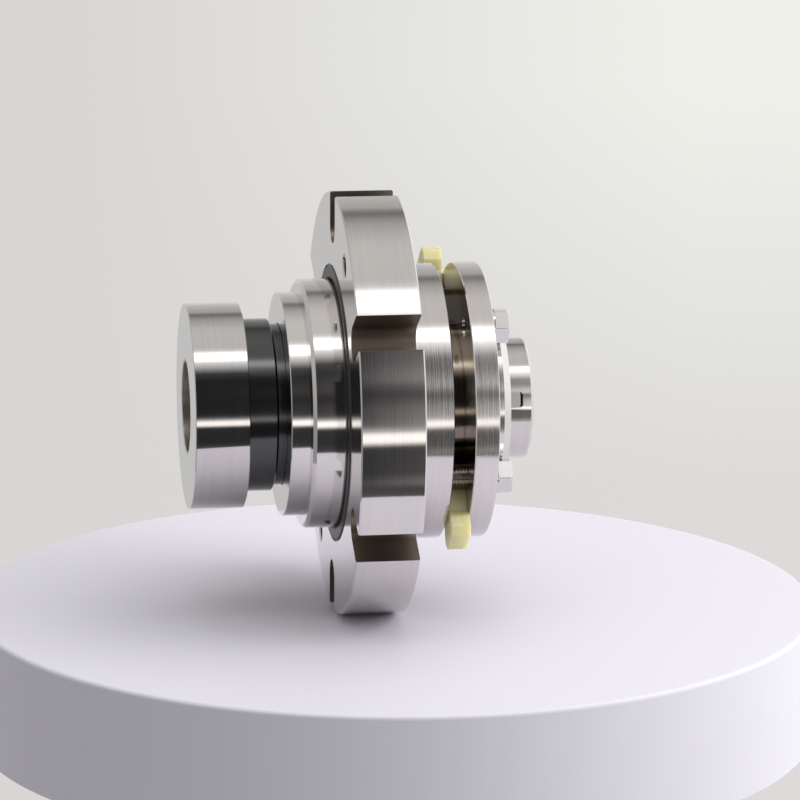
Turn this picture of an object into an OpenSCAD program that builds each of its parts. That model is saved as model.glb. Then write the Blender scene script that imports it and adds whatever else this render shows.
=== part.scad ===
// Cartridge mechanical face seal: a double seal built on a shaft sleeve, with its flange and drive collar.
// The shaft axis is X. X = 0 is the flange face that meets the pump, and +X leads away from the pump.
// Angles round the shaft are counted from +Z towards -Y.

/* [Shaft and sleeve] */
// Diameter of the shaft that the sleeve slides on
shaft_d = 35; // [30:0.5:38]
// Wall of the sleeve round the shaft
sleeve_wall = 5.9; // [4.5:0.1:6.5]
// Length of the sleeve's head, which carries the first rotating ring
head_length = 20.6; // [18:0.1:26]
// Wall of the head round its ring
head_wall = 6.1; // [4:0.1:8]
// Length of the sleeve that stands out of the drive collar
tail_length = 10.3; // [8:0.1:16]

/* [Seal rings] */
// Radial width of the stationary rings
ring_wall = 6.4; // [5.5:0.1:8]
// Length of the first rotating ring that shows between the head and the seal face
ring_show = 11.2; // [8:0.1:14]
// Length of the first stationary ring that shows in front of the flange's nose
seat_show = 3.8; // [2:0.1:6]
// Step of the first rotating ring's outside over the stationary ring
ring_step = 2.2; // [1:0.1:3]
// Thickness of the cord of the rings' seals
cord_d = 2.3; // [2:0.1:2.4]

/* [Flange] */
// Outside diameter of the flange
flange_d = 163; // [150:1:190]
// Thickness of the flange
flange_t = 24.3; // [22:0.1:28]
// Length of the pilot that enters the pump's seal chamber
pilot_length = 13.2; // [12:0.1:18]
// Length of the narrow nose in front of the pilot
nose_length = 7.7; // [5:0.1:10]
// Wall of the nose round the seal chamber
nose_wall = 11.8; // [9:0.1:13]
// Step from the nose up to the pilot
pilot_step = 4.9; // [3:0.1:6]
// Radial width of the groove that holds the gasket
gasket_groove_w = 5.8; // [4:0.1:6.5]
// Height of the gasket over the flange face
gasket_proud = 0.4; // [0.2:0.1:1]
// Number of open slots for the studs
slot_count = 6; // [3:1:6]
// Width of each stud slot
slot_w = 13.6; // [10:0.1:16]
// Depth of each stud slot from the rim
slot_depth = 19.1; // [15:0.1:20]
// Length of the boss on the outer side
boss_length = 15; // [13:0.1:20]

/* [Drive collar] */
// Diameter of the boss and of the collar's disc
disc_d = 106.2; // [100:0.1:112]
// Gap between the boss and the collar
collar_gap = 8; // [6:0.1:10]
// Thickness of the collar's disc
collar_t = 9.2; // [8:0.1:14]
// Length of the hub on the collar's outer side
hub_length = 7.9; // [7:0.1:12]
// Wall of the hub round the sleeve
hub_wall = 9.6; // [8:0.1:10.5]
// Thread diameter of the bolts
bolt_d = 8; // [6:0.5:8]
// Reach of a setting clip past the disc's rim when it is pushed home
clip_reach = 8.1; // [7:0.1:12]

/* [Hidden] */

// Finish
round_fn = 96;
small_fn = 32;
edge = 0.3;
flange_edge = 0.5;
bore_edge = 0.6;
ring_edge = 0.5;
pilot_edge = 1.3;
hub_edge = 2.7;
hub_step = 1.3;
tail_edge = 1;
eps = 0.01;
past = 1;

// Colours
turned_steel = [0.74, 0.72, 0.71];
flange_steel = [0.73, 0.71, 0.7];
bolt_steel = [0.78, 0.78, 0.78];
pin_steel = [0.7, 0.7, 0.7];
plate_steel = [0.72, 0.72, 0.73];
spring_steel = [0.66, 0.66, 0.68];
key_steel = [0.55, 0.54, 0.53];
dark_grey = [0.3, 0.3, 0.31];
carbon_grey = [0.16, 0.16, 0.17];
face_black = [0.1, 0.1, 0.11];
rubber_black = [0.08, 0.08, 0.08];
clip_yellow = [0.86, 0.84, 0.62];

// Clearances
slide_gap = 0.05;
cord_gap = 0.15;
ring_gap = 0.2;
pin_gap = 0.25;
chamber_gap = 0.3;
shaft_gap = 0.3;
clip_gap = 0.5;
free_gap = 1.1;

// Fasteners: metric hexagon bolts of the small series, with split washers
bolt_r = bolt_d / 2;
bolt_head_t = 0.6875 * bolt_d;
bolt_head_w = 1.5 * bolt_d;
bolt_corner_r = bolt_head_w / 2 / cos(30);
washer_t = 0.25 * bolt_d;
washer_r = 0.86 * bolt_d;
screw_r = 2.5;
socket_w = 2.5;

// Radii, from the shaft outwards
shaft_r = shaft_d / 2;
sleeve_r = shaft_r + sleeve_wall;
seat_bore_r = sleeve_r + free_gap;
seat_r = seat_bore_r + ring_wall;
chamber_r = seat_r + chamber_gap;
rotor_ring_r = seat_r + ring_step;
pocket_r = rotor_ring_r + ring_gap;
head_r = pocket_r + head_wall;
nose_r = chamber_r + nose_wall;
pilot_r = nose_r + pilot_step;
gasket_groove_r = pilot_r + gasket_groove_w;
gasket_slack = 0.6;
flange_r = flange_d / 2;
disc_r = disc_d / 2;
spigot_wall = 4.9;
spigot_r = sleeve_r + spigot_wall;
hub_r = sleeve_r + hub_wall;
bolt_circle_r = hub_r + bolt_corner_r + chamber_gap;
seat_neck_r = seat_r - cord_d - cord_gap;

// Stations along the shaft, on the pump's side
nose_x = -(pilot_length + nose_length);
seal_in_x = nose_x - seat_show;
head_back_x = seal_in_x - ring_show;
head_x = head_back_x - head_length;
pocket_depth = 10.2;
pocket_x = head_back_x - pocket_depth;
seat_in_depth = 7.4;
seat_in_neck = 6;
seat_in_neck_x = nose_x + seat_in_depth;
seat_in_end_x = seat_in_neck_x + seat_in_neck;
thrust_t = 1.5;
thrust_in_x = seat_in_end_x + thrust_t;
relief = 0.8;
relief_x = -(gasket_proud + 1);

// Stations in the flange's middle and on the outer side
web_x = 2;
web_t = 10;
spring_pocket = 4;
boss_x = flange_t + boss_length;
seal_out_depth = 7.8;
seat_out_nose = 6;
seat_out_neck = 5.5;
seal_out_x = boss_x - seal_out_depth;
seat_out_neck_x = seal_out_x - seat_out_nose;
seat_out_end_x = seat_out_neck_x - seat_out_neck;
thrust_out_x = seat_out_end_x - thrust_t;
out_ring_length = 5.5;
spigot_x = seal_out_x + out_ring_length;
collar_x = boss_x + collar_gap;
collar_back_x = collar_x + collar_t;
hub_x = collar_back_x + hub_length;
tail_x = hub_x + tail_length;

// Springs and pins
spring_count = 6;
spring_angle = 180 / spring_count;
spring_turns = 5;
spring_wire_r = 0.35;
spring_r = 1.25;
spring_circle_r = seat_bore_r + 2.6;
spring_pocket_r = spring_r + spring_wire_r + chamber_gap;
pin_r = 1;
pin_circle_r = seat_bore_r + 2;
pin_sunk = 4;
pin_reach = 1.5;
drive_pin_r = 1.25;
drive_pin_circle_r = (rotor_ring_r + sleeve_r) / 2 + 0.9;
drive_pin_sunk = 5;
drive_pin_reach = 4;
out_pin_r = 0.9;
out_pin_circle_r = sleeve_r + 3.5;
out_pin_sunk = 5;
out_pin_reach = 2.6;
end_gap = 0.4;

// Grooves
small_cord_r = 1;
small_groove_depth = 2 * small_cord_r + ring_gap;
shaft_groove_x = head_x + 5;
shaft_groove_w = 3;
shaft_groove_r = shaft_r + small_groove_depth;
ring_groove_w = 3.2;
out_groove_w = 2.6;
ring_groove_r = sleeve_r + small_groove_depth;
gasket_seat = 1.8;

// Holes in the flange
jack_hole_r = 4.4;
jack_hole_depth = 14;
jack_inset = 13.5;
jack_circle_r = flange_r - jack_inset;
port_r = 6.2;
port_depth = 14;
port_drill_r = 2.5;
port_x = web_x + web_t + 3;
port_angles = [270, 330];

// Places round the shaft
bolt_angle = 35;
key_angle = bolt_angle + 45;
clip_angle = 141;
quarters = [0, 90, 180, 270];
screw_angles = [key_angle + 157.5, key_angle + 202.5];
screw_x = collar_back_x + 2.7;

// Keys and their slots in the sleeve
key_w = 6;
key_corner_r = 1.2;
key_in_x = collar_x + 4;
key_slot_x = key_in_x - 0.5;
key_slot_reach = 6.1;
key_slot_end_x = hub_x + key_slot_reach;
key_top_r = sleeve_r + 2.3;
key_low_r = shaft_r + end_gap;

// Setting clips: tabs pushed into the gap, the upper one not quite home
clip_w = 12.6;
clip_wide_w = 17.4;
clip_flat_w = 11.8;
clip_corner = 3;
clip_depth = 12.8;
clip_neck_depth = 2.5;
clip_in_r = disc_r - clip_depth;
clip_neck_r = disc_r - clip_neck_depth;
clip_wide_r = disc_r + 1;
clip_r = disc_r + clip_reach;
upper_clip_lift = 3.3;

// Turns a drawing's first axis to +Z, its second to -Y and its third to +X
module on_shaft() {
    rotate([0, 90, 0]) rotate([0, 0, 180]) children();
}

// A body turned round the shaft from points of radius and station
module turned(points) {
    on_shaft() rotate_extrude($fn = round_fn) polygon(points);
}

// A straight rod along X, round the line at radius r and angle a
module rod(r, a, from, to, radius, sides = small_fn) {
    rotate([a, 0, 0]) translate([from, 0, r]) on_shaft() cylinder(r = radius, h = to - from, $fn = sides);
}

// Repeats a piece evenly round the shaft
module round_shaft(count, first = 0) {
    for (i = [0 : count - 1]) rotate([first + i * 360 / count, 0, 0]) children();
}

// A ring of round cord
module cord_ring(r, cord_r, x) {
    on_shaft() translate([0, 0, x])
        rotate_extrude($fn = round_fn) translate([r, 0]) circle(r = cord_r, $fn = small_fn);
}

// One corner of a coil's wire: k counts the steps along it and s the sides round it
function coil_point(k, s, steps, sides, from, to) =
    let (
        turn = 360 * spring_turns * k / steps,
        side = 360 * s / sides,
        reach = spring_r + spring_wire_r * cos(side),
        rise = from + spring_wire_r + (to - from - 2 * spring_wire_r) * k / steps
    )
    [rise + spring_wire_r * sin(side), reach * sin(turn), reach * cos(turn)];

// One of the two triangles that close the wire between two steps
function coil_face(k, s, sides, half) =
    let (
        here = k * sides + s,
        beside = k * sides + (s + 1) % sides,
        next = here + sides,
        next_beside = beside + sides
    )
    half == 0 ? [here, next, next_beside] : [here, next_beside, beside];

// A coil spring along X, between two stations
module coil(from, to) {
    sides = 6;
    steps = spring_turns * 10;
    points = [for (k = [0 : steps], s = [0 : sides - 1]) coil_point(k, s, steps, sides, from, to)];
    first_cap = [[for (s = [0 : sides - 1]) s]];
    last_cap = [[for (s = [sides - 1 : -1 : 0]) steps * sides + s]];
    walls = [
        for (k = [0 : steps - 1], s = [0 : sides - 1], half = [0, 1]) coil_face(k, s, sides, half)
    ];
    polyhedron(points = points, faces = concat(first_cap, walls, last_cap), convexity = 6);
}

// The springs of one side, in the pockets of the web
module springs(from, to) {
    round_shaft(spring_count, spring_angle) translate([0, 0, spring_circle_r]) coil(from, to);
}

// A key's upright form with rounded ends, from one radius to another
module key_form(w, low_r, high_r, from, to, corner_r) {
    translate([from, -w / 2, low_r]) linear_extrude(high_r - low_r) {
        translate([0, corner_r]) square([to - from, w - 2 * corner_r]);
        translate([corner_r, 0]) square([to - from - 2 * corner_r, w]);
        for (x = [corner_r, to - from - corner_r], y = [corner_r, w - corner_r])
            translate([x, y]) circle(r = corner_r, $fn = small_fn);
    }
}

// The sleeve, with its head, the head's pocket and the groove for the shaft's O-ring
module shaft_sleeve() {
    color(turned_steel)
    difference() {
        turned([
            [shaft_r + edge, head_x], [head_r - edge, head_x], [head_r, head_x + edge],
            [head_r, head_back_x - edge], [head_r - edge, head_back_x], [pocket_r, head_back_x],
            [pocket_r, pocket_x], [sleeve_r, pocket_x], [sleeve_r, tail_x - tail_edge],
            [sleeve_r - tail_edge, tail_x], [shaft_r + edge, tail_x], [shaft_r, tail_x - edge],
            [shaft_r, shaft_groove_x + shaft_groove_w], [shaft_groove_r, shaft_groove_x + shaft_groove_w],
            [shaft_groove_r, shaft_groove_x], [shaft_r, shaft_groove_x], [shaft_r, head_x + edge]
        ]);
        for (a = quarters)
            rod(drive_pin_circle_r, a, pocket_x - drive_pin_sunk, pocket_x + past, drive_pin_r);
        round_shaft(2, key_angle)
            key_form(key_w, shaft_r - past, sleeve_r + past, key_slot_x, key_slot_end_x, key_corner_r);
        for (a = screw_angles)
            rotate([a, 0, 0]) translate([screw_x, 0, shaft_r - past])
                cylinder(r = screw_r + shaft_gap, h = sleeve_wall + 2 * past, $fn = small_fn);
    }
}

// The O-ring that seals the sleeve to the shaft
module shaft_o_ring() {
    color(rubber_black)
    cord_ring(shaft_r + small_groove_depth / 2, small_cord_r, shaft_groove_x + shaft_groove_w / 2);
}

// The first rotating ring, seated in the head
module inboard_rotating_ring() {
    color(face_black)
    difference() {
        turned([
            [ring_groove_r, pocket_x], [rotor_ring_r - ring_edge, pocket_x],
            [rotor_ring_r, pocket_x + ring_edge], [rotor_ring_r, seal_in_x - ring_edge],
            [rotor_ring_r - ring_edge, seal_in_x], [sleeve_r + ring_gap, seal_in_x],
            [sleeve_r + ring_gap, pocket_x + ring_groove_w], [ring_groove_r, pocket_x + ring_groove_w]
        ]);
        for (a = quarters)
            rod(drive_pin_circle_r, a, pocket_x - past, pocket_x + drive_pin_reach + end_gap,
                drive_pin_r + pin_gap);
    }
}

// The O-ring under the first rotating ring
module inboard_ring_o_ring() {
    color(rubber_black)
    cord_ring(sleeve_r + small_groove_depth / 2, small_cord_r, pocket_x + ring_groove_w / 2);
}

// The pins that make the first rotating ring turn with the head
module inboard_drive_pins() {
    color(pin_steel)
    for (a = quarters)
        rod(drive_pin_circle_r, a, pocket_x - drive_pin_sunk, pocket_x + drive_pin_reach, drive_pin_r);
}

// A stationary ring: its nose runs on the rotating ring and its neck carries an O-ring
module stationary_ring(face_x, neck_x, end_x) {
    side = sign(end_x - face_x);
    hole_ends = [end_x - pin_sunk * side, end_x + past * side];
    difference() {
        turned([
            [seat_bore_r, face_x], [seat_r - ring_edge, face_x], [seat_r, face_x + ring_edge * side],
            [seat_r, neck_x], [seat_neck_r, neck_x], [seat_neck_r, end_x], [seat_bore_r, end_x]
        ]);
        for (a = [0, 180])
            rod(pin_circle_r, a, min(hole_ends), max(hole_ends), pin_r + pin_gap);
    }
}

module inboard_stationary_ring() {
    color(carbon_grey) stationary_ring(seal_in_x, seat_in_neck_x, seat_in_end_x);
}

module inboard_seat_o_ring() {
    color(rubber_black)
    cord_ring(seat_neck_r + slide_gap + cord_d / 2, cord_d / 2, seat_in_neck_x + slide_gap + cord_d / 2);
}

// The plate that spreads the springs' push over a stationary ring
module thrust_ring(from) {
    difference() {
        turned([
            [seat_bore_r, from], [seat_r, from], [seat_r, from + thrust_t], [seat_bore_r, from + thrust_t]
        ]);
        for (a = [0, 180])
            rod(pin_circle_r, a, from - past, from + thrust_t + past, pin_r + pin_gap);
    }
}

module inboard_thrust_ring() {
    color(plate_steel) thrust_ring(seat_in_end_x);
}

module inboard_springs() {
    color(spring_steel) springs(thrust_in_x, web_x + spring_pocket);
}

// The turned outline of the flange plate with its nose, pilot and boss, bored for the two seal chambers
module gland_body() {
    turned([
        [chamber_r + bore_edge, nose_x], [nose_r - edge, nose_x], [nose_r, nose_x + edge],
        [nose_r, -pilot_length], [pilot_r - pilot_edge, -pilot_length], [pilot_r, pilot_edge - pilot_length],
        [pilot_r, relief_x], [pilot_r - relief, relief_x], [pilot_r - relief, gasket_seat],
        [gasket_groove_r, gasket_seat], [gasket_groove_r, 0],
        [flange_r - flange_edge, 0], [flange_r, flange_edge],
        [flange_r, flange_t - flange_edge], [flange_r - flange_edge, flange_t],
        [disc_r, flange_t], [disc_r, boss_x - edge], [disc_r - edge, boss_x],
        [chamber_r + bore_edge, boss_x], [chamber_r, boss_x - bore_edge], [chamber_r, web_x + web_t],
        [seat_bore_r, web_x + web_t], [seat_bore_r, web_x], [chamber_r, web_x],
        [chamber_r, nose_x + bore_edge]
    ]);
}

// One open slot for a stud, cut through the rim
module stud_slot() {
    reach = flange_r - slot_depth + slot_w / 2;
    translate([-past, 0, 0]) on_shaft() {
        translate([reach, 0, 0]) cylinder(r = slot_w / 2, h = flange_t + 2 * past, $fn = round_fn);
        translate([reach, -slot_w / 2, 0]) cube([flange_r, slot_w, flange_t + 2 * past]);
    }
}

// A tapped port from the rim, drilled on into the space between the two seals
module port() {
    translate([port_x, 0, 0]) {
        translate([0, 0, flange_r - port_depth]) cylinder(r = port_r, h = port_depth + past, $fn = small_fn);
        translate([0, 0, chamber_r - past])
            cylinder(r = port_drill_r, h = flange_r - chamber_r, $fn = small_fn);
    }
}

// The flange plate
module gland_plate() {
    color(flange_steel)
    difference() {
        gland_body();
        round_shaft(slot_count) stud_slot();
        round_shaft(2, 180 / slot_count) {
            rod(jack_circle_r, 0, -past, jack_hole_depth, jack_hole_r);
            translate([-eps, 0, jack_circle_r]) on_shaft()
                cylinder(r1 = jack_hole_r + bore_edge, r2 = jack_hole_r, h = bore_edge, $fn = small_fn);
        }
        for (a = port_angles) rotate([a, 0, 0]) port();
        round_shaft(spring_count, spring_angle) {
            rod(spring_circle_r, 0, web_x - past, web_x + spring_pocket, spring_pocket_r);
            rod(spring_circle_r, 0, web_x + web_t - spring_pocket, web_x + web_t + past, spring_pocket_r);
        }
        for (a = [0, 180]) rod(pin_circle_r, a, web_x - past, web_x + web_t + past, pin_r);
    }
}

// The gasket that lies in the groove of the flange face
module gland_gasket() {
    inner_r = pilot_r + ring_gap;
    outer_r = gasket_groove_r - gasket_slack;
    color(dark_grey)
    turned([
        [inner_r, bore_edge - gasket_proud], [inner_r + bore_edge, -gasket_proud],
        [outer_r - bore_edge, -gasket_proud], [outer_r, bore_edge - gasket_proud],
        [outer_r, gasket_seat], [inner_r, gasket_seat]
    ]);
}

// The pins through the web that stop both stationary rings from turning
module anti_rotation_pins() {
    color(pin_steel)
    for (a = [0, 180])
        rod(pin_circle_r, a, seat_in_end_x - pin_reach, seat_out_end_x + pin_reach, pin_r);
}

module outboard_springs() {
    color(spring_steel) springs(web_x + web_t - spring_pocket, thrust_out_x);
}

module outboard_thrust_ring() {
    color(plate_steel) thrust_ring(thrust_out_x);
}

module outboard_seat_o_ring() {
    color(rubber_black)
    cord_ring(seat_neck_r + slide_gap + cord_d / 2, cord_d / 2, seat_out_neck_x - slide_gap - cord_d / 2);
}

module outboard_stationary_ring() {
    color(carbon_grey) stationary_ring(seal_out_x, seat_out_neck_x, seat_out_end_x);
}

// The second rotating ring, driven by the end of the collar's spigot
module outboard_rotating_ring() {
    color(face_black)
    difference() {
        turned([
            [sleeve_r + ring_gap, seal_out_x], [seat_r - edge - ring_edge, seal_out_x],
            [seat_r - edge, seal_out_x + ring_edge], [seat_r - edge, spigot_x],
            [ring_groove_r, spigot_x], [ring_groove_r, spigot_x - out_groove_w],
            [sleeve_r + ring_gap, spigot_x - out_groove_w]
        ]);
        for (a = quarters)
            rod(out_pin_circle_r, a, spigot_x - out_pin_reach - end_gap, spigot_x + past,
                out_pin_r + ring_gap);
    }
}

module outboard_ring_o_ring() {
    color(rubber_black)
    cord_ring(sleeve_r + small_groove_depth / 2, small_cord_r, spigot_x - out_groove_w / 2);
}

module outboard_drive_pins() {
    color(pin_steel)
    for (a = quarters)
        rod(out_pin_circle_r, a, spigot_x - out_pin_reach, spigot_x + out_pin_sunk, out_pin_r);
}

// The drive collar: a spigot that enters the boss, the disc that holds the bolts, and the hub
module drive_collar() {
    color(turned_steel)
    difference() {
        turned([
            [sleeve_r + slide_gap, spigot_x], [spigot_r, spigot_x], [spigot_r, collar_x],
            [disc_r - edge, collar_x], [disc_r, collar_x + edge], [disc_r, collar_back_x - edge],
            [disc_r - edge, collar_back_x], [hub_r, collar_back_x], [hub_r, hub_x - hub_edge],
            [hub_r - hub_step, hub_x], [sleeve_r + slide_gap, hub_x]
        ]);
        for (a = quarters) {
            rod(out_pin_circle_r, a, spigot_x - past, spigot_x + out_pin_sunk, out_pin_r);
            rod(bolt_circle_r, a + bolt_angle, collar_x - past, collar_back_x + past, bolt_r + slide_gap);
        }
        round_shaft(2, key_angle)
            translate([key_in_x, -key_w / 2, 0]) cube([hub_x + past - key_in_x, key_w, key_top_r + slide_gap]);
        for (a = screw_angles)
            rotate([a, 0, 0]) translate([screw_x, 0, sleeve_r - past])
                cylinder(r = screw_r, h = hub_wall + 2 * past, $fn = small_fn);
    }
}

// The keys that carry the collar's turning force to the sleeve
module drive_keys() {
    w = key_w - 2 * slide_gap;
    corner_r = key_corner_r - slide_gap;
    color(key_steel)
    round_shaft(2, key_angle) {
        key_form(w, key_low_r, key_top_r, key_in_x, hub_x - bore_edge, corner_r);
        key_form(w, key_low_r, sleeve_r - ring_edge, key_in_x, key_slot_end_x - past, corner_r);
    }
}

// The set screws that pass through the hub and the sleeve to the shaft
module collar_set_screws() {
    screw_end_r = hub_r - ring_edge;
    socket_depth = 2.5;
    color(dark_grey)
    for (a = screw_angles)
        rotate([a, 0, 0]) translate([screw_x, 0, 0])
            difference() {
                translate([0, 0, shaft_r + shaft_gap])
                    cylinder(r = screw_r - slide_gap, h = screw_end_r - shaft_r - shaft_gap, $fn = small_fn);
                translate([0, 0, screw_end_r - socket_depth])
                    cylinder(d = socket_w / cos(30), h = socket_depth + past, $fn = 6);
            }
}

// A hexagon head with its corners turned off, on a plain shank
module hex_bolt(a, from) {
    under_head_x = collar_back_x + washer_t;
    rod(bolt_circle_r, a, from, under_head_x + eps, bolt_r);
    rotate([a, 0, 0]) translate([under_head_x, 0, bolt_circle_r]) on_shaft()
        intersection() {
            rotate([0, 0, 30 - a]) cylinder(r = bolt_corner_r, h = bolt_head_t, $fn = 6);
            cylinder(r1 = bolt_head_w / 2 + bolt_head_t, r2 = bolt_head_w / 2, h = bolt_head_t,
                $fn = round_fn);
        }
}

// The long bolts, which reach across the gap to the boss
module setting_bolts() {
    color(bolt_steel)
    for (a = [90, 270]) hex_bolt(a + bolt_angle, boss_x + clip_gap);
}

// The short bolts, which end in the collar's disc
module lock_bolts() {
    color(bolt_steel)
    for (a = [0, 180]) hex_bolt(a + bolt_angle, collar_x + clip_gap);
}

// A split washer under each bolt's head
module spring_washers() {
    split = 0.8;
    split_angle = 40;
    color(pin_steel)
    for (a = quarters)
        rotate([a + bolt_angle, 0, 0]) translate([collar_back_x, 0, bolt_circle_r]) on_shaft()
            difference() {
                cylinder(r = washer_r, h = washer_t, $fn = small_fn);
                translate([0, 0, -past])
                    cylinder(r = bolt_r + ring_gap, h = washer_t + 2 * past, $fn = small_fn);
                rotate([0, 0, split_angle]) translate([0, -split / 2, -past])
                    cube([washer_r + past, split, washer_t + 2 * past]);
            }
}

// Half of a clip's outline, from its inner end to its outer end
function clip_side(side) = [
    [clip_in_r, side * (clip_w / 2 - clip_corner / 2)],
    [clip_in_r + clip_corner / 2, side * clip_w / 2],
    [clip_neck_r, side * clip_w / 2],
    [clip_wide_r, side * clip_wide_w / 2],
    [clip_r - clip_corner, side * clip_wide_w / 2],
    [clip_r, side * clip_flat_w / 2]
];

// A clip in the gap, which holds the collar off the boss while the seal is fitted
module setting_clip(a, lift = 0) {
    first_side = clip_side(-1);
    second_side = clip_side(1);
    count = len(second_side);
    rotate([a, 0, 0]) translate([boss_x + clip_gap, 0, lift]) on_shaft()
        linear_extrude(collar_gap - clip_gap)
            polygon(concat(first_side, [for (i = [1 : count]) second_side[count - i]]));
}

module upper_setting_clip() {
    color(clip_yellow) setting_clip(clip_angle + 180, upper_clip_lift);
}

module lower_setting_clip() {
    color(clip_yellow) setting_clip(clip_angle);
}

shaft_sleeve();
shaft_o_ring();
inboard_rotating_ring();
inboard_ring_o_ring();
inboard_drive_pins();
inboard_stationary_ring();
inboard_seat_o_ring();
inboard_thrust_ring();
inboard_springs();
gland_plate();
gland_gasket();
anti_rotation_pins();
outboard_springs();
outboard_thrust_ring();
outboard_seat_o_ring();
outboard_stationary_ring();
outboard_rotating_ring();
outboard_ring_o_ring();
outboard_drive_pins();
drive_collar();
drive_keys();
collar_set_screws();
setting_bolts();
lock_bolts();
spring_washers();
upper_setting_clip();
lower_setting_clip();
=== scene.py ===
# %% [markdown]
# # A cartridge mechanical seal
# The seal is a stack of turned steel rings on one shaft sleeve, with black sealing rings between them.
# Its solids come from the CAD frame, and this notebook adds the light, the metal and the small threads.

# %% Load the frame
import bmesh
import bpy
import math
from mathutils import Matrix, Vector


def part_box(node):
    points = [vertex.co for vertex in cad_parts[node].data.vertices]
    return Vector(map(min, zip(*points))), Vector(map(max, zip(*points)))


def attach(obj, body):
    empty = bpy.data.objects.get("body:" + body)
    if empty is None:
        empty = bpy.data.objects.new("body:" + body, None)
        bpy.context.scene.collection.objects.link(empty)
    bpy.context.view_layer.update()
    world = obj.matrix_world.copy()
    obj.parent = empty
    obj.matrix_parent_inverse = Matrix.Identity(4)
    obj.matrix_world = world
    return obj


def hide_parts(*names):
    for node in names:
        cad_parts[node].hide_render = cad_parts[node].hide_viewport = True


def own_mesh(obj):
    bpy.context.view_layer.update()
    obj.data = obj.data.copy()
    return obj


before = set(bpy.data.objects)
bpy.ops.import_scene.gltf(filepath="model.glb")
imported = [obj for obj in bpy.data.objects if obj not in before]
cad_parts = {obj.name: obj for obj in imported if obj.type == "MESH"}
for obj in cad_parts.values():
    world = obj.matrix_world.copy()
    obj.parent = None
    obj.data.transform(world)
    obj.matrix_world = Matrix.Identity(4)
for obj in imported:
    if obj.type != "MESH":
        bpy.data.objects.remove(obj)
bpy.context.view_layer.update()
MM = 0.001
print("nodes:", len(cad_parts))


# %% [markdown]
# ## Sizes that several pieces share
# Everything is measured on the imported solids, so the new pieces follow the frame when it changes.
# The shaft axis is the X axis, and the flange stands on its rim.

# %% Read sizes from the frame
def span(solid_name, axis):
    """The lowest and highest coordinate of a node along one axis."""
    low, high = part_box(solid_name)
    return low[axis], high[axis]


flange_low, flange_high = span("gland_plate", 2)
flange_right = span("gland_plate", 0)[1]
flange_r = span("gland_plate", 1)[1]
print("flange stands at z =", round(flange_low, 4), "and its height is", round(flange_high - flange_low, 4))


# %% [markdown]
# ## The camera
# A long lens far from the seal keeps its circles nearly parallel, as in a catalogue picture.
# The camera stands a little to the left and above, so the inboard faces of the discs show.

# %% Place the camera
view_azimuth = math.radians(-8.57)
view_elevation = math.radians(11.9)
view_distance = 1.508
view_roll = math.radians(0.27)
focal_pixels = 3914.5
picture_pixels = 800
sensor_width = 36.0
aim_right, aim_up = 0.02612, 0.00113

back = Vector((
    math.sin(view_azimuth) * math.cos(view_elevation),
    -math.cos(view_azimuth) * math.cos(view_elevation),
    math.sin(view_elevation),
))
right = Vector((math.cos(view_azimuth), math.sin(view_azimuth), 0.0))
up = back.cross(right)
aim = aim_right * right + aim_up * up
camera_data = bpy.data.cameras.new("studio_camera")
camera_data.sensor_width = sensor_width
camera_data.lens = focal_pixels * sensor_width / picture_pixels
camera = bpy.data.objects.new("studio_camera", camera_data)
bpy.context.collection.objects.link(camera)
stand = Matrix.Translation(aim + back * view_distance)
turn = Matrix((right, up, back)).transposed().to_4x4()
camera.matrix_world = stand @ turn @ Matrix.Rotation(view_roll, 4, "Z")
bpy.context.scene.camera = camera
bpy.context.scene.view_settings.view_transform = "Standard"
print("lens", round(camera_data.lens), "mm at", view_distance, "m")


# %% [markdown]
# ## Node helpers
# Each finish is a small node tree. These helpers keep the code of a finish down to what it does.

# %% Helpers for node trees
def node(tree, kind, **settings):
    """Adds a node and sets its properties, and its inputs where the name starts with in_."""
    made = tree.nodes.new(kind)
    for name, value in settings.items():
        if name.startswith("in_"):
            made.inputs[name[3:]].default_value = value
        else:
            setattr(made, name, value)
    return made


def math_node(tree, operation, first, second=0.0, clamp=False):
    """One sum on two values, each a number or an output."""
    made = node(tree, "ShaderNodeMath", operation=operation, use_clamp=clamp)
    for index, value in enumerate((first, second)):
        if isinstance(value, (int, float)):
            made.inputs[index].default_value = value
        else:
            tree.links.new(value, made.inputs[index])
    return made.outputs[0]


def length_node(tree, first, second):
    """The length of a slanted line from its two sides, which stand at a right angle."""
    squares = [math_node(tree, "MULTIPLY", side, side) for side in (first, second)]
    return math_node(tree, "SQRT", math_node(tree, "ADD", *squares))


print("helpers for sums ready")

# %% [markdown]
# Colours need two more helpers. A ramp turns one value into a colour, and a mix joins two colours.

# %% Helpers for colours
def grey(value, warmth=0.0):
    """A grey with a little more red and less blue where warmth is above zero."""
    return (value * (1.0 + warmth), value, value * (1.0 - warmth))


def ramp_node(tree, factor, stops):
    """A colour ramp with the given (place, colour) stops."""
    made = node(tree, "ShaderNodeValToRGB")
    elements = made.color_ramp.elements
    while len(elements) < len(stops):
        elements.new(1.0)
    for element, (place, colour) in zip(elements, stops):
        element.position = place
        element.color = (*colour, 1.0)
    tree.links.new(factor, made.inputs[0])
    return made.outputs[0]


def mix_node(tree, share, first, second, blend="MIX"):
    """Two colours mixed by a share, each of the three either an output or a fixed value."""
    made = node(tree, "ShaderNodeMixRGB", blend_type=blend)
    for socket, value in zip(made.inputs, (share, first, second)):
        if isinstance(value, bpy.types.NodeSocket):
            tree.links.new(value, socket)
        else:
            socket.default_value = value if socket.name == "Fac" else (*value, 1.0)
    return made.outputs[0]


print("helpers for colours ready")


# %% [markdown]
# ## The studio round the seal
# Polished metal shows its surroundings more than its own colour. A photographer sets long soft boxes and
# black cards round such a part, and every cylinder then shows them as straight bands along its length.
# The world is a ring of such bands, counted as an angle from the front horizon up and over to the back.

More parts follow.
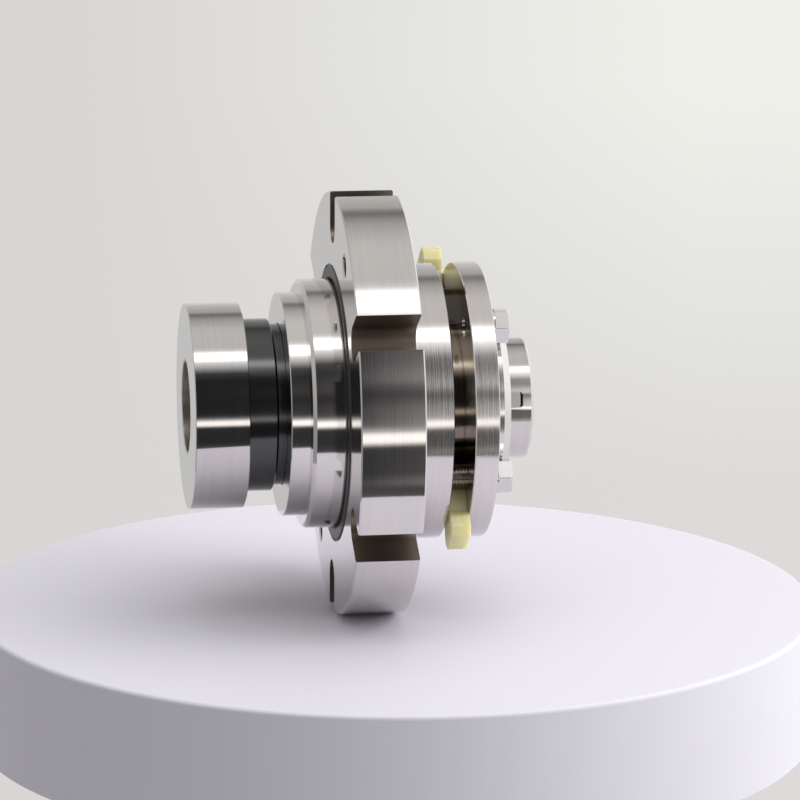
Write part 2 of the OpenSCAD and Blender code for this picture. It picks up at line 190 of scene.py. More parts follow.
# %% Build the world of soft boxes and black cards
studio_bands = [
    (-180, grey(0.64)), (-150, grey(0.55)), (-140, grey(0.30)), (-40, grey(0.10)), (-30, grey(0.03)),
    (-13, grey(0.03)), (-12, grey(0.06)), (-9.5, grey(1.5, 0.04)), (-6, grey(1.5, 0.04)),
    (-4, grey(0.50)), (-1, grey(0.06)), (3, grey(0.02)), (40, grey(0.02)), (48, grey(0.06)),
    (52, grey(0.30)), (56, grey(0.62)), (60, grey(0.90)), (62, grey(1.25)), (65, grey(3.0)),
    (71, grey(3.0)), (73, grey(1.60)), (76, grey(0.85)), (80, grey(0.70, 0.02)), (100, grey(0.72, 0.02)),
    (108, grey(0.68, 0.02)), (116, grey(0.58, 0.02)), (124, grey(0.47, 0.02)), (131, grey(0.30)),
    (134, grey(0.22)), (137, grey(0.27)), (142, grey(0.50, 0.01)), (180, grey(0.75, 0.01)),
]

world = bpy.data.worlds.new("studio")
bpy.context.scene.world = world
world.use_nodes = True
sky = world.node_tree
sky.nodes.clear()
direction = node(sky, "ShaderNodeSeparateXYZ")
sky.links.new(node(sky, "ShaderNodeTexCoord").outputs["Generated"], direction.inputs[0])
to_right, to_back, to_top = direction.outputs
to_front = math_node(sky, "MULTIPLY", to_back, -1.0)
round_angle = math_node(sky, "ARCTAN2", to_top, to_front)
round_share = math_node(sky, "ADD", math_node(sky, "DIVIDE", round_angle, math.tau), 0.5)


def band_ramp(stops):
    """A ramp over the angle round X, with its stops given in degrees."""
    return ramp_node(sky, round_share, [((angle + 180) / 360, colour) for angle, colour in stops])


bands = band_ramp(studio_bands)
print("studio bands:", len(studio_bands))

# %% [markdown]
# A pale card stands low on the right, so the discs on that side show it in front and the others don't.
# Its bands are added to those of the studio, and a second ramp says how far to the right they begin.

# %% Add the card on the right
card_bands = [
    (-36, grey(0.0)), (-32, grey(0.60)), (-27, grey(0.22)), (-12, grey(0.16)), (-4, grey(0.2)),
    (-1, grey(0.90)), (5, grey(0.80)), (9, grey(0.65)), (13, grey(0.38)), (16, grey(0.28)),
    (20, grey(0.55)), (23, grey(0.95)), (27, grey(0.90)), (31, grey(0.70)), (38, grey(0.45)),
    (46, grey(0.45)), (52, grey(0.55)), (60, grey(0.50)), (66, grey(0.0)),
]
card_reach = [
    (0.12, grey(0.0)), (0.137, grey(0.03)), (0.148, grey(0.26)), (0.165, grey(0.40)), (0.178, grey(1.0)),
]
card = mix_node(sky, 1.0, band_ramp(card_bands), ramp_node(sky, to_right, card_reach), "MULTIPLY")
with_card = mix_node(sky, 1.0, bands, card, "ADD")
print("card bands:", len(card_bands))

# %% [markdown]
# Further round to the right the studio is white, which lights up every bevel that faces that way, and
# on the left it is a plain grey. Each side is one soft wall that grows lighter towards its top.

# %% Add the walls at the sides
wall_foot, wall_top = 0.35, 0.75


def add_wall(before, sideways, starts, ends, low, high):
    """Fades from the bands into a wall that is low at its foot and high at its top."""
    rising = math_node(sky, "ADD", math_node(sky, "MULTIPLY", to_top, 0.5), 0.5)
    share = ramp_node(sky, sideways, [(starts, grey(0.0)), (ends, grey(1.0))])
    return mix_node(sky, share, before, ramp_node(sky, rising, [(wall_foot, low), (wall_top, high)]))


to_left = math_node(sky, "MULTIPLY", to_right, -1.0)
with_right = add_wall(with_card, to_right, starts=0.28, ends=0.55, low=grey(0.95), high=grey(1.3, 0.01))
with_walls = add_wall(with_right, to_left, starts=0.40, ends=0.70, low=grey(0.36), high=grey(0.62, 0.01))
band_light = node(sky, "ShaderNodeBackground", in_Strength=1.0)
sky.links.new(with_walls, band_light.inputs["Color"])
print("walls added")

# %% [markdown]
# The camera itself sees none of this. It sees a plain pale backdrop, lightest at the top right.

# %% Hang the backdrop and join both into the world
glow_left, glow_across = 0.065, 6.4
glow_foot, glow_upward = 0.226, 10.0
corner_share, side_share = 0.8, 0.2
backdrop_stops = [(0.0, (0.69, 0.67, 0.66)), (0.5, (0.77, 0.765, 0.74)), (1.0, (0.87, 0.87, 0.83))]

from_left = math_node(sky, "SUBTRACT", to_right, glow_left)
from_foot = math_node(sky, "ADD", to_top, glow_foot)
across = math_node(sky, "MULTIPLY", from_left, glow_across, clamp=True)
upward = math_node(sky, "MULTIPLY", from_foot, glow_upward, clamp=True)
to_corner = math_node(sky, "MULTIPLY", math_node(sky, "MULTIPLY", across, upward), corner_share)
glow = math_node(sky, "ADD", to_corner, math_node(sky, "MULTIPLY", across, side_share))
backdrop_light = node(sky, "ShaderNodeBackground", in_Strength=1.0)
sky.links.new(ramp_node(sky, glow, backdrop_stops), backdrop_light.inputs["Color"])
seen = node(sky, "ShaderNodeLightPath").outputs["Is Camera Ray"]
either = node(sky, "ShaderNodeMixShader")
sky.links.new(seen, either.inputs["Fac"])
sky.links.new(band_light.outputs[0], either.inputs[1])
sky.links.new(backdrop_light.outputs[0], either.inputs[2])
sky.links.new(either.outputs[0], node(sky, "ShaderNodeOutputWorld").inputs["Surface"])
print("backdrop hung")


# %% [markdown]
# ## Lamps
# Two large soft lamps give the rubber, plastic and table their shape. Metal already mirrors the bands,
# so the lamps are kept out of its reflections.

# %% Hang the lamps
lamp_aim = (0.02, 0.0, 0.0)


def soft_lamp(name, place, size, power):
    """A square area lamp that points at the seal and isn't mirrored by metal."""
    data = bpy.data.lights.new(name, "AREA")
    data.size = size
    data.energy = power
    lamp = bpy.data.objects.new(name, data)
    bpy.context.collection.objects.link(lamp)
    away = Vector(place) - Vector(lamp_aim)
    lamp.matrix_world = Matrix.Translation(place) @ away.to_track_quat("Z", "Y").to_matrix().to_4x4()
    lamp.visible_glossy = False


soft_lamp("top_lamp", place=(0.25, 0.15, 1.1), size=0.9, power=3.0)
soft_lamp("right_lamp", place=(0.8, -0.35, 0.45), size=0.6, power=3.7)
print("lamps hung")


# %% [markdown]
# ## From a bmesh to a piece
# Every new piece starts as a bmesh. One helper writes it to an object at the origin, where the CAD solids
# have theirs, and gives it its finish. An extrusion hands back all that it made, so a second helper picks
# out the new points, which are then moved. A third one rounds edges.

# %% Helpers for new pieces
def add_object(name, solid, finish):
    """Writes a bmesh to a new object at the origin, with one finish."""
    data = bpy.data.meshes.new(name)
    solid.to_mesh(data)
    solid.free()
    data.materials.append(finish)
    made = bpy.data.objects.new(name, data)
    bpy.context.collection.objects.link(made)
    return made


def new_points(extruded):
    """The vertices that an extrusion has just made."""
    return [item for item in extruded["geom"] if isinstance(item, bmesh.types.BMVert)]


def round_edges(solid, edges, size, segments):
    """Rounds the given edges of a bmesh."""
    bmesh.ops.bevel(solid, geom=edges, offset=size, segments=segments, profile=0.5,
                    affect="EDGES", material=-1)


print("helpers for pieces ready")


# %% [markdown]
# ## The table
# The seal stands on a round pale turntable. It isn't part of the object.
# The disc is a circle filled and extruded down, with its upper rim rounded by a bevel. It is painted a
# cool white with a faint gloss. Such paint is even, so a plain shader is enough.

# %% Mix the table's paint
table_paint = bpy.data.materials.new("table_paint")
table_paint.use_nodes = True
paint = table_paint.node_tree.nodes["Principled BSDF"]
paint.inputs["Base Color"].default_value = (0.74, 0.72, 0.80, 1.0)
paint.inputs["Roughness"].default_value = 0.45
paint.inputs["Specular IOR Level"].default_value = 0.3
print("table paint mixed")

# %% Make the round table
table_centre = Vector((0.02585, 0.0118, flange_low))
table_r = 0.165
table_depth = 0.05
rim_round = 0.0015
rim_depth = 1e-6

disc = bmesh.new()
bmesh.ops.create_circle(disc, cap_ends=True, segments=256, radius=table_r)
lowered = new_points(bmesh.ops.extrude_face_region(disc, geom=disc.faces[:]))
bmesh.ops.translate(disc, verts=lowered, vec=(0, 0, -table_depth))
bmesh.ops.recalc_face_normals(disc, faces=disc.faces[:])
rim = [edge for edge in disc.edges if all(abs(v.co.z) < rim_depth for v in edge.verts)]
round_edges(disc, rim, rim_round, segments=3)
bmesh.ops.translate(disc, verts=disc.verts[:], vec=table_centre)
table = add_object("table", disc, table_paint)
print("table of", len(table.data.polygons), "faces")


# %% [markdown]
# ## Turned steel
# A lathe leaves fine grooves that run round the shaft. On a rim they are circles side by side along X, and
# on a disc's face they are rings of growing radius. Both are lines of one value: X on the rim and the
# radius on the face. A noise that changes quickly with X and radius, and slowly with everything else,
# draws them on every surface at once, and a faint bump turns them into streaks in the reflections.

# %% A helper for the lines of a lathe
fine_detail, fine_roughness = 3.0, 0.65
broad_scale, broad_detail, broad_share = 0.17, 2.0, 0.35
drift_y, drift_z = 19.0, 23.0


def lathe_lines(tree, x, y, z, radius, groove_mm):
    """A noise with fine and broad lines that run round X."""
    per_metre = 1.0 / (groove_mm * MM)
    drift = [math_node(tree, "MULTIPLY", y, drift_y), math_node(tree, "MULTIPLY", z, drift_z)]
    grooves = node(tree, "ShaderNodeCombineXYZ")
    tree.links.new(math_node(tree, "MULTIPLY", x, per_metre), grooves.inputs[0])
    tree.links.new(math_node(tree, "MULTIPLY", radius, per_metre), grooves.inputs[1])
    tree.links.new(math_node(tree, "ADD", *drift), grooves.inputs[2])
    fine = node(tree, "ShaderNodeTexNoise", in_Scale=1.0, in_Detail=fine_detail, in_Roughness=fine_roughness)
    broad = node(tree, "ShaderNodeTexNoise", in_Scale=broad_scale, in_Detail=broad_detail)
    for noise in (fine, broad):
        tree.links.new(grooves.outputs[0], noise.inputs["Vector"])
    return math_node(tree, "ADD", math_node(tree, "MULTIPLY", fine.outputs[0], 1.0 - broad_share),
                     math_node(tree, "MULTIPLY", broad.outputs[0], broad_share))


print("lathe lines ready")

# %% [markdown]
# Four places need another finish than the rest of their solid: the milled walls of the stud slots, the
# nose, the bore, and what stands in the gap. The slot walls and what stands in the gap get painted shade.
# They could be solids of their own, but a mask picks each of them out by its place, and one material then
# serves the whole solid.

# %% Helpers that find a place on a solid
# The slot walls' dark tint is painted shade, since they lie in shade.
slot_shade_tint = (0.24, 0.20, 0.165)
milled_roughness = 0.5
mask_margin = 0.1 * MM


def slot_mask(tree, y, z, radius, half_width, start_radius, every):
    """Is 1 on the walls of open slots that stand round X, and 0 on the faces and the rim between them."""
    angle = math_node(tree, "ARCTAN2", y, z)
    folded = math_node(tree, "PINGPONG", angle, every / 2)
    beside = math_node(tree, "MULTIPLY", radius, math_node(tree, "SINE", folded))
    along = math_node(tree, "MULTIPLY", radius, math_node(tree, "COSINE", folded))
    before = math_node(tree, "MINIMUM", math_node(tree, "SUBTRACT", along, start_radius), 0.0)
    return math_node(tree, "LESS_THAN", length_node(tree, beside, before), half_width + mask_margin)


def zone_mask(tree, x, radius, zone_from, zone_to, zone_radius):
    """Is 1 between two places along the shaft and within a radius."""
    between = math_node(tree, "MULTIPLY", math_node(tree, "GREATER_THAN", x, zone_from),
                        math_node(tree, "LESS_THAN", x, zone_to))
    return math_node(tree, "MULTIPLY", between, math_node(tree, "LESS_THAN", radius, zone_radius))


print("masks ready")

# %% [markdown]
# The whole finish joins these parts. The lines shade the colour a little, make the gloss uneven and tilt
# the surface, and each mask then changes the colour and the gloss where it is 1.

# %% A helper that builds a turned metal
groove_shade = 0.92
shade_stop, tint_stop = 0.3, 0.62
groove_height = 0.1
smooth_gloss, grooved_gloss = 0.6, 0.6


def turned_metal(name, tint, roughness, streak, groove_mm, bump, polish=None, slots=None, zone=None):
    """A metal with grooves round X: streak varies its gloss and bump tilts its reflections.

    polish is a list of (x, share) stops in metres that say how deep the grooves are along the shaft,
    slots is the shape of milled slots whose walls get a dark tint of painted shade, and zone is a (from x,
    to x, radius, tint, roughness) with another finish inside; in the gap that tint is painted shade.
    """
    material = bpy.data.materials.new(name)
    material.use_nodes = True
    tree = material.node_tree
    shader = tree.nodes["Principled BSDF"]
    shader.inputs["Metallic"].default_value = 1.0
    split = node(tree, "ShaderNodeSeparateXYZ")
    tree.links.new(node(tree, "ShaderNodeTexCoord").outputs["Object"], split.inputs[0])
    x, y, z = split.outputs
    radius = length_node(tree, y, z)
    lines = lathe_lines(tree, x, y, z, radius, groove_mm)
    shade = [channel * groove_shade for channel in tint]
    colour = ramp_node(tree, lines, [(shade_stop, shade), (tint_stop, tint)])
    uneven = math_node(tree, "MULTIPLY", math_node(tree, "SUBTRACT", lines, 0.5), streak)
    gloss = math_node(tree, "ADD", uneven, roughness)
    relief = node(tree, "ShaderNodeBump", in_Strength=bump, in_Distance=groove_mm * MM * groove_height)
    tree.links.new(lines, relief.inputs["Height"])
    tree.links.new(relief.outputs[0], shader.inputs["Normal"])
    if slots:
        inside = slot_mask(tree, y, z, radius, *slots)
        # The slot walls take a dark tint of painted shade.
        colour = mix_node(tree, inside, colour, slot_shade_tint)
        gloss = math_node(tree, "ADD", gloss, math_node(tree, "MULTIPLY", inside, milled_roughness))
    if polish:
        first, last = polish[0][0], polish[-1][0]
        along = math_node(tree, "DIVIDE", math_node(tree, "SUBTRACT", x, first), last - first, clamp=True)
        stops = [((at_x - first) / (last - first), grey(part)) for at_x, part in polish]
        share = ramp_node(tree, along, stops)
        duller = math_node(tree, "ADD", math_node(tree, "MULTIPLY", share, grooved_gloss), smooth_gloss)
        gloss = math_node(tree, "MULTIPLY", gloss, duller)
        tree.links.new(math_node(tree, "MULTIPLY", share, bump), relief.inputs["Strength"])
    if zone:
        # In the gap this zone's tint is painted shade.
        finish_and_shade_tint, zone_roughness = zone[3:]
        within = zone_mask(tree, x, radius, *zone[:3])
        colour = mix_node(tree, within, colour, finish_and_shade_tint)
        gloss = math_node(tree, "ADD", gloss, math_node(tree, "MULTIPLY", within, zone_roughness))
    tree.links.new(colour, shader.inputs["Base Color"])
    tree.links.new(gloss, shader.inputs["Roughness"])
    return material


print("turned metal ready")

# %% [markdown]
# The head of the sleeve is polished and the discs show their grooves. On the flange the nose is smooth, and
# further right the grooves are deeper. The spigot and bolt shanks in the gap get a darker tint of painted
# shade.

# %% Say where the steels change
steel_tint = (0.70, 0.675, 0.66)
slot_shape = (6.8 * MM, flange_r - 12.3 * MM, math.radians(60))
flange_polish = [(-2 * MM, 0.04), (0.0, 0.12), (flange_right - 16 * MM, 0.12), (flange_right - 14 * MM, 0.9)]
far_left, far_right = -1.0, 1.0
nose_right = -0.1 * MM
gap_left, gap_right = flange_right - 1 * MM, flange_right + 9 * MM
bore_r, spigot_r = 18.6 * MM, 31 * MM
nose_r, shanks_r = 60 * MM, 60 * MM
nose_zone = (far_left, nose_right, nose_r, steel_tint, 0.02)
# The gap and shank tints are painted shade: the discs shade the spigot and the bolt shanks between them.
gap_shade_zone = (gap_left, gap_right, spigot_r, (0.28, 0.235, 0.19), 0.0)
shank_shade_zone = (gap_left, gap_right, shanks_r, (0.38, 0.35, 0.31), 0.05)
bore_zone = (far_left, far_right, bore_r, (0.62, 0.56, 0.50), 0.25)
print("gap from", round(gap_left / MM, 1), "to", round(gap_right / MM, 1), "mm")

# %% Mix the steels
head_steel = turned_metal("polished_sleeve_steel", (0.665, 0.64, 0.625), roughness=0.07, streak=0.05,
                          groove_mm=0.35, bump=0.05, zone=bore_zone)
flange_steel = turned_metal("turned_flange_steel", steel_tint, roughness=0.10, streak=0.08,
                            groove_mm=0.45, bump=0.45, polish=flange_polish, slots=slot_shape,
                            zone=nose_zone)
disc_steel = turned_metal("turned_disc_steel", (0.72, 0.69, 0.675), roughness=0.14, streak=0.25,
                          groove_mm=0.5, bump=0.42, zone=gap_shade_zone)
pin_steel = turned_metal("drawn_pin_steel", (0.66, 0.65, 0.64), roughness=0.25, streak=0.1,
                         groove_mm=0.3, bump=0.2)
key_steel = turned_metal("bright_key_steel", (0.74, 0.72, 0.70), roughness=0.1, streak=0.05,
                         groove_mm=0.3, bump=0.1)
bolt_steel = turned_metal("bright_bolt_steel", (0.69, 0.675, 0.66), roughness=0.1, streak=0.05,
                          groove_mm=0.3, bump=0.1, zone=shank_shade_zone)
dark_steel = turned_metal("blackened_screw_steel", (0.10, 0.10, 0.105), roughness=0.35, streak=0.1,
                          groove_mm=0.3, bump=0.2)
print("steels mixed")


# %% [markdown]
# ## Black rings, rubber, gasket and clips
# The seal rings are ground and lapped to a soft black gloss. Rubber is duller and a touch brown, and the
# gasket is a dark grey sheet. The clips are moulded in pale yellow, so light goes a little way into them.
# All of them have a fine grain, so one helper makes them from a cloudy noise.

# %% A helper for solid, non-metal finishes
grain_detail, grain_roughness = 4.0, 0.6
dark_stop, light_stop = 0.35, 0.65
grain_height = 0.2
gloss_spread = 0.12
inner_depth = 0.008
inner_colour = (1.0, 0.9, 0.5)


def solid_finish(name, dark, light, roughness, grain_mm, bump, ior=1.5, inner=0.0, painted_shade=None):
    """A finish with a cloudy grain between two colours and a fine bump of the same grain.

    inner says how much light goes into it, and the last argument is a (tint, full radius, unshaded radius)
    of painted shade that darkens the colour towards the shaft, where the discs shade it.
    """
    material = bpy.data.materials.new(name)
    material.use_nodes = True
    tree = material.node_tree
    shader = tree.nodes["Principled BSDF"]
    shader.inputs["IOR"].default_value = ior
    shader.inputs["Subsurface Weight"].default_value = inner
    shader.inputs["Subsurface Scale"].default_value = inner_depth
    shader.inputs["Subsurface Radius"].default_value = inner_colour
    at = node(tree, "ShaderNodeTexCoord").outputs["Object"]
    grain = node(tree, "ShaderNodeTexNoise", in_Scale=1.0 / (grain_mm * MM), in_Detail=grain_detail,
                 in_Roughness=grain_roughness)
    tree.links.new(at, grain.inputs["Vector"])
    colour = ramp_node(tree, grain.outputs[0], [(dark_stop, dark), (light_stop, light)])
    # Painted shade: the colour darkens towards the shaft, where the discs shade it.
    if painted_shade:
        shade_tint, full_shade_r, unshaded_r = painted_shade
        split = node(tree, "ShaderNodeSeparateXYZ")
        tree.links.new(at, split.inputs[0])
        radius = length_node(tree, *split.outputs[1:])
        past_full = math_node(tree, "SUBTRACT", radius, full_shade_r)
        unshaded = math_node(tree, "DIVIDE", past_full, unshaded_r - full_shade_r, clamp=True)
        colour = mix_node(tree, unshaded, shade_tint, colour)
    tree.links.new(colour, shader.inputs["Base Color"])
    uneven = math_node(tree, "MULTIPLY", grain.outputs[0], gloss_spread)
    gloss = math_node(tree, "ADD", uneven, roughness - gloss_spread / 2)
    tree.links.new(gloss, shader.inputs["Roughness"])
    relief = node(tree, "ShaderNodeBump", in_Strength=bump, in_Distance=grain_mm * MM * grain_height)
    tree.links.new(grain.outputs[0], relief.inputs["Height"])
    tree.links.new(relief.outputs[0], shader.inputs["Normal"])
    return material


print("solid finish ready")

# %% Mix the black finishes
hard_face = solid_finish("lapped_black_face", (0.004, 0.004, 0.005), (0.009, 0.009, 0.010),
                         roughness=0.14, grain_mm=0.3, bump=0.02, ior=1.85)
carbon_face = solid_finish("turned_carbon", (0.006, 0.006, 0.007), (0.014, 0.014, 0.015),
                           roughness=0.20, grain_mm=0.3, bump=0.03, ior=1.7)
ring_rubber = solid_finish("ring_rubber", (0.014, 0.013, 0.013), (0.026, 0.025, 0.024),
                           roughness=0.45, grain_mm=0.6, bump=0.1)
gasket_sheet = solid_finish("gasket_sheet", (0.012, 0.011, 0.011), (0.03, 0.028, 0.027),
                            roughness=0.40, grain_mm=0.5, bump=0.1)
print("black finishes mixed")

# %% [markdown]
# The clips are pale at their outer ends and darken to brown towards the shaft, down in the gap. That brown
# is painted shade, where the discs shade the clips. Each plastic changes between two radii.

# %% Mix the clips' plastic
# The clips' brown towards the shaft is painted shade.
painted_shade_tint = (0.10, 0.075, 0.04)
upper_painted_shade = (painted_shade_tint, 43 * MM, 56 * MM)
lower_painted_shade = (painted_shade_tint, 36 * MM, 41 * MM)
# The upper clip is painted darker and the lower one lighter, with more light let into it, to even out the
# light on the upper clip and the shade on the lower one.
upper_plastic = solid_finish("upper_clip_plastic", (0.62, 0.58, 0.31), (0.67, 0.63, 0.36),
                             roughness=0.36, grain_mm=1.5, bump=0.03, inner=0.6, painted_shade=upper_painted_shade)
lower_plastic = solid_finish("lower_clip_plastic", (0.71, 0.66, 0.36), (0.77, 0.72, 0.42),
                             roughness=0.36, grain_mm=1.5, bump=0.03, inner=0.9, painted_shade=lower_painted_shade)
print("clips' plastic mixed")


# %% [markdown]
# ## Dressing the solids
# Each solid of the frame keeps its shape, and takes its finish in its own material slots.

# %% Give every solid its finish
finishes = {
    "shaft_sleeve": head_steel, "gland_plate": flange_steel, "drive_collar": disc_steel,
    "inboard_rotating_ring": hard_face, "outboard_rotating_ring": hard_face,
    "inboard_stationary_ring": carbon_face, "outboard_stationary_ring": carbon_face,
    "shaft_o_ring": ring_rubber, "inboard_ring_o_ring": ring_rubber, "outboard_ring_o_ring": ring_rubber,
    "inboard_seat_o_ring": ring_rubber, "outboard_seat_o_ring": ring_rubber,
    "gland_gasket": gasket_sheet, "upper_setting_clip": upper_plastic, "lower_setting_clip": lower_plastic,
    "inboard_drive_pins": pin_steel, "outboard_drive_pins": pin_steel, "anti_rotation_pins": pin_steel,
    "inboard_thrust_ring": pin_steel, "outboard_thrust_ring": pin_steel,
    "inboard_springs": pin_steel, "outboard_springs": pin_steel, "drive_keys": key_steel,
    "setting_bolts": bolt_steel, "lock_bolts": bolt_steel, "spring_washers": bolt_steel,
    "collar_set_screws": dark_steel,
}


def dress(solid, finish):
    """Puts one finish in all the slots of a frame solid."""
    slots = solid.data.materials
    if not slots:
        slots.append(finish)
    for index in range(len(slots)):
        slots[index] = finish


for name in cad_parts:
    dress(bpy.data.objects[name], finishes[name])
print("dressed", len(finishes), "solids")


# %% [markdown]
# ## The four bolts
# Hexagon bolts hold the clips and the drive collar, and the long pair crosses the gap in front of the disc,
# where its thread shows. They are plain in the frame, so each is made again in the place of its solid, from
# sizes that are measured on it.

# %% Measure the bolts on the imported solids
near_tip = 0.1 * MM
head_step = 0.5 * MM


def bolt_places(solid_name):
    """The centre, tip, underside of the head, top and radii of each bolt in a node."""
    points = [vertex.co for vertex in bpy.data.objects[solid_name].data.vertices]
    found = []
    for side in (-1, 1):
        own = [point for point in points if point.y * side > 0]
        tip, top = min(p.x for p in own), max(p.x for p in own)
        shank = [p for p in own if p.x < tip + near_tip]
        centre_y = 0.5 * (min(p.y for p in shank) + max(p.y for p in shank))
        centre_z = 0.5 * (min(p.z for p in shank) + max(p.z for p in shank))
        reached = [(math.hypot(p.y - centre_y, p.z - centre_z), p.x) for p in own]
        shank_r = max(r for r, x in reached if x < tip + near_tip)
        corner_r = max(r for r, x in reached)
        under = min(x for r, x in reached if r > shank_r + head_step)
        found.append({"y": centre_y, "z": centre_z, "tip": tip, "under": under, "top": top,
                      "shank_r": shank_r, "corner_r": corner_r})
    return found


places = {name: bolt_places(name) for name in ("setting_bolts", "lock_bolts")}
for name, pair in places.items():
    print(name, [{key: round(value / MM, 2) for key, value in place.items()} for place in pair])

# %% [markdown]
# A head is a six-sided circle pulled up, with its corners cut by a bevel of its upper points.

# %% Helpers for the shank and the head
corner_cut = 1.1 * MM
top_round = 0.35 * MM
side_round = 0.15 * MM
top_depth = 0.01 * MM


def add_post(solid, sides, radius, low, high):
    """A closed prism or rod along Z, and the vertices of its top."""
    ring = bmesh.ops.create_circle(solid, cap_ends=True, segments=sides, radius=radius)["verts"]
    bmesh.ops.translate(solid, verts=ring, vec=(0, 0, low))
    base = [face for face in solid.faces if all(vertex in ring for vertex in face.verts)]
    top = new_points(bmesh.ops.extrude_face_region(solid, geom=base))
    bmesh.ops.translate(solid, verts=top, vec=(0, 0, high - low))
    return top


def add_head(solid, corner_r, low, high):
    """A hexagon head with its upper corners cut and its edges eased."""
    top = add_post(solid, 6, corner_r, low, high)
    bmesh.ops.bevel(solid, geom=top, offset=corner_cut, segments=1, profile=0.5,
                    affect="VERTICES", material=-1)
    upper = [edge for edge in solid.edges if all(vertex.co.z > high - top_depth for vertex in edge.verts)]
    round_edges(solid, upper, top_round, segments=3)
    upright = [edge for edge in solid.edges
               if abs(edge.verts[0].co.z - edge.verts[1].co.z) > 0.5 * (high - low)]
    round_edges(solid, upright, side_round, segments=2)


print("head helpers ready")

# %% [markdown]
# The thread could be a bump on a plain rod, but in the gap its teeth stand out from the side. It is one
# small four-cornered section that a spin carries round the shank while it also moves along it.

# %% A helper for the thread
thread_pitch = 1.25 * MM
thread_depth = 0.68 * MM
thread_steps = 32
below_core = 0.02 * MM
half_foot, half_crest = 0.46 * thread_pitch, 0.08 * thread_pitch


def add_thread(solid, crest_r, low, high):
    """A ridge of thread that starts just below the surface of its core."""
    foot_r = crest_r - thread_depth - below_core
    corners = [(foot_r, -half_foot), (crest_r, -half_crest), (crest_r, half_crest), (foot_r, half_foot)]
    ridge = [solid.verts.new((r, 0.0, low + half_foot + z)) for r, z in corners]
    section = solid.faces.new(ridge)
    turns = (high - low - 2 * half_foot) / thread_pitch
    steps = round(turns * thread_steps)
    bmesh.ops.spin(solid, geom=[section, *section.edges, *ridge], cent=(0, 0, 0), axis=(0, 0, 1),
                   dvec=(0, 0, thread_pitch / thread_steps), angle=math.tau * steps / thread_steps,
                   steps=steps)


print("thread helper ready")

# %% [markdown]
# A bolt is drawn upright and then laid along the shaft. The matrix that lays it down mirrors it as well,
# so the thread comes out left-handed and the faces point inwards. Both bolts of a node become one piece,
# which turns with the rotor and takes the place of their solid.

# %% Make the long and the short bolts
shank_sides = 40
overlap = 0.5 * MM
collar_left = flange_right + 8 * MM
thread_end = collar_left + 2 * MM
along_x = Matrix(((0, 0, 1), (-1, 0, 0), (0, 1, 0)))


def make_bolt(place, head_turn, threaded):
    """One bolt in its place, as a bmesh."""
    bolt = bmesh.new()
    add_head(bolt, place["corner_r"], place["under"], place["top"])
    core_r = place["shank_r"] - (thread_depth if threaded else 0.0)
    add_post(bolt, shank_sides, core_r, place["tip"], place["under"] + overlap)
    if threaded:
        add_thread(bolt, place["shank_r"], place["tip"], thread_end)
        add_post(bolt, shank_sides, place["shank_r"], thread_end - overlap, place["under"] + overlap)
    bmesh.ops.recalc_face_normals(bolt, faces=bolt.faces[:])
    bmesh.ops.rotate(bolt, verts=bolt.verts[:], matrix=Matrix.Rotation(head_turn, 3, "Z"))
    bmesh.ops.rotate(bolt, verts=bolt.verts[:], matrix=along_x)
    bmesh.ops.translate(bolt, verts=bolt.verts[:], vec=(0, place["y"], place["z"]))
    return bolt


def make_bolts(name, solid_name, head_turns, threaded):
    """Both bolts of one node as one piece that rides with the rotor."""
    whole = bmesh.new()
    for place, head_turn in zip(places[solid_name], head_turns):
        bolt = make_bolt(place, head_turn, threaded)
        one = bpy.data.meshes.new("one_bolt")
        bolt.to_mesh(one)
        bolt.free()
        whole.from_mesh(one)
        bpy.data.meshes.remove(one)
    piece = add_object(name, whole, bolt_steel)
    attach(piece, "rotor")
    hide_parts(solid_name)
    print(name, len(piece.data.polygons), "faces")


long_turns = (math.radians(36), math.radians(10))
short_turns = (math.radians(33), math.radians(50))
make_bolts("threaded_setting_bolts", "setting_bolts", long_turns, threaded=True)
make_bolts("short_lock_bolts", "lock_bolts", short_turns, threaded=False)


# %% [markdown]
# ## The two setting clips
# The clips are moulded tabs that keep the disc off the flange. They could be drawn anew, but a copy of each
# solid follows the frame when it changes. The frame's solids are loose triangles, so a copy is merged first.

# %% A helper that copies a solid
weld_distance = 0.001 * MM


def merged_copy(solid_name):
    """A bmesh of a frame solid with its loose triangles joined."""
    solid = bmesh.new()
    solid.from_mesh(bpy.data.objects[solid_name].data)
    bmesh.ops.remove_doubles(solid, verts=solid.verts[:], dist=weld_distance)
    return solid


print("copy helper ready")

# %% [markdown]
# A tongue is pulled out of the clip's inner end, down towards the shaft, where it closes the gap to the eye.
# Then all the edges get a small round, as moulded edges have.

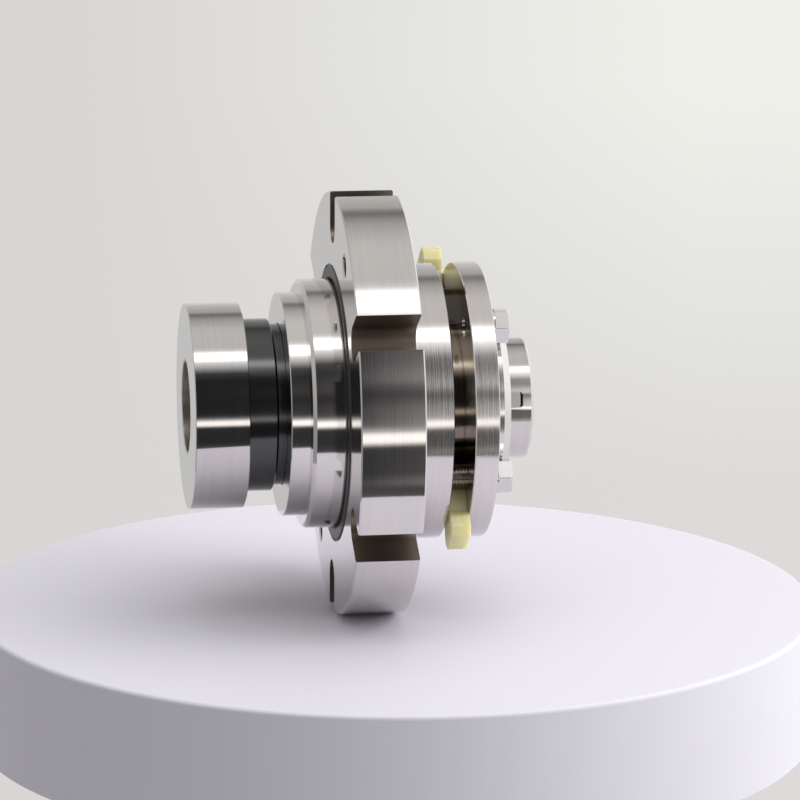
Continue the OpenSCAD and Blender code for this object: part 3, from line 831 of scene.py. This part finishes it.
# %% Make the clips
tongue_end_r = span("drive_collar", 2)[1] - 23.0 * MM
clip_round = 0.4 * MM
end_depth = 0.05 * MM
flat_angle = math.radians(1)
sharp_angle = math.radians(15)
clip_body = "rotor"


def make_clip(name, solid_name, plastic):
    """A copy of a clip's solid with a tongue towards the shaft and rounded edges."""
    clip = merged_copy(solid_name)
    bmesh.ops.dissolve_limit(clip, angle_limit=flat_angle, verts=clip.verts[:], edges=clip.edges[:])
    middle = sum((vertex.co for vertex in clip.verts), Vector()) / len(clip.verts)
    outward = Vector((0.0, middle.y, middle.z)).normalized()
    inner_r = min(vertex.co.dot(outward) for vertex in clip.verts)
    end = [face for face in clip.faces if all(v.co.dot(outward) < inner_r + end_depth for v in face.verts)]
    tongue = new_points(bmesh.ops.extrude_face_region(clip, geom=end))
    bmesh.ops.translate(clip, verts=tongue, vec=outward * (tongue_end_r - inner_r))
    bmesh.ops.delete(clip, geom=[face for face in end if face.is_valid], context="FACES_ONLY")
    bmesh.ops.recalc_face_normals(clip, faces=clip.faces[:])
    sharp = [edge for edge in clip.edges if edge.calc_face_angle(0.0) > sharp_angle]
    round_edges(clip, sharp, clip_round, segments=3)
    piece = add_object(name, clip, plastic)
    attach(piece, clip_body)
    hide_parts(solid_name)
    print(name, len(piece.data.polygons), "faces, tongue down to", round(tongue_end_r / MM, 1), "mm")


make_clip("upper_clip_with_tongue", "upper_setting_clip", upper_plastic)
make_clip("lower_clip_with_tongue", "lower_setting_clip", lower_plastic)


# %% [markdown]
# ## The coil springs
# Six small coils stand behind each thrust ring. Each set is a merged copy of its solids that rides with the
# gland and takes their place. It doesn't shorten when the ring slides back, and stiff coils would reach into
# the ring.


def make_springs(name, solid_name):
    """A merged copy of a set of coils that rides with the gland and takes the place of its solids."""
    piece = add_object(name, merged_copy(solid_name), pin_steel)
    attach(piece, "gland")
    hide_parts(solid_name)
    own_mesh(piece)


make_springs("inboard_coil_springs", "inboard_springs")
make_springs("outboard_coil_springs", "outboard_springs")
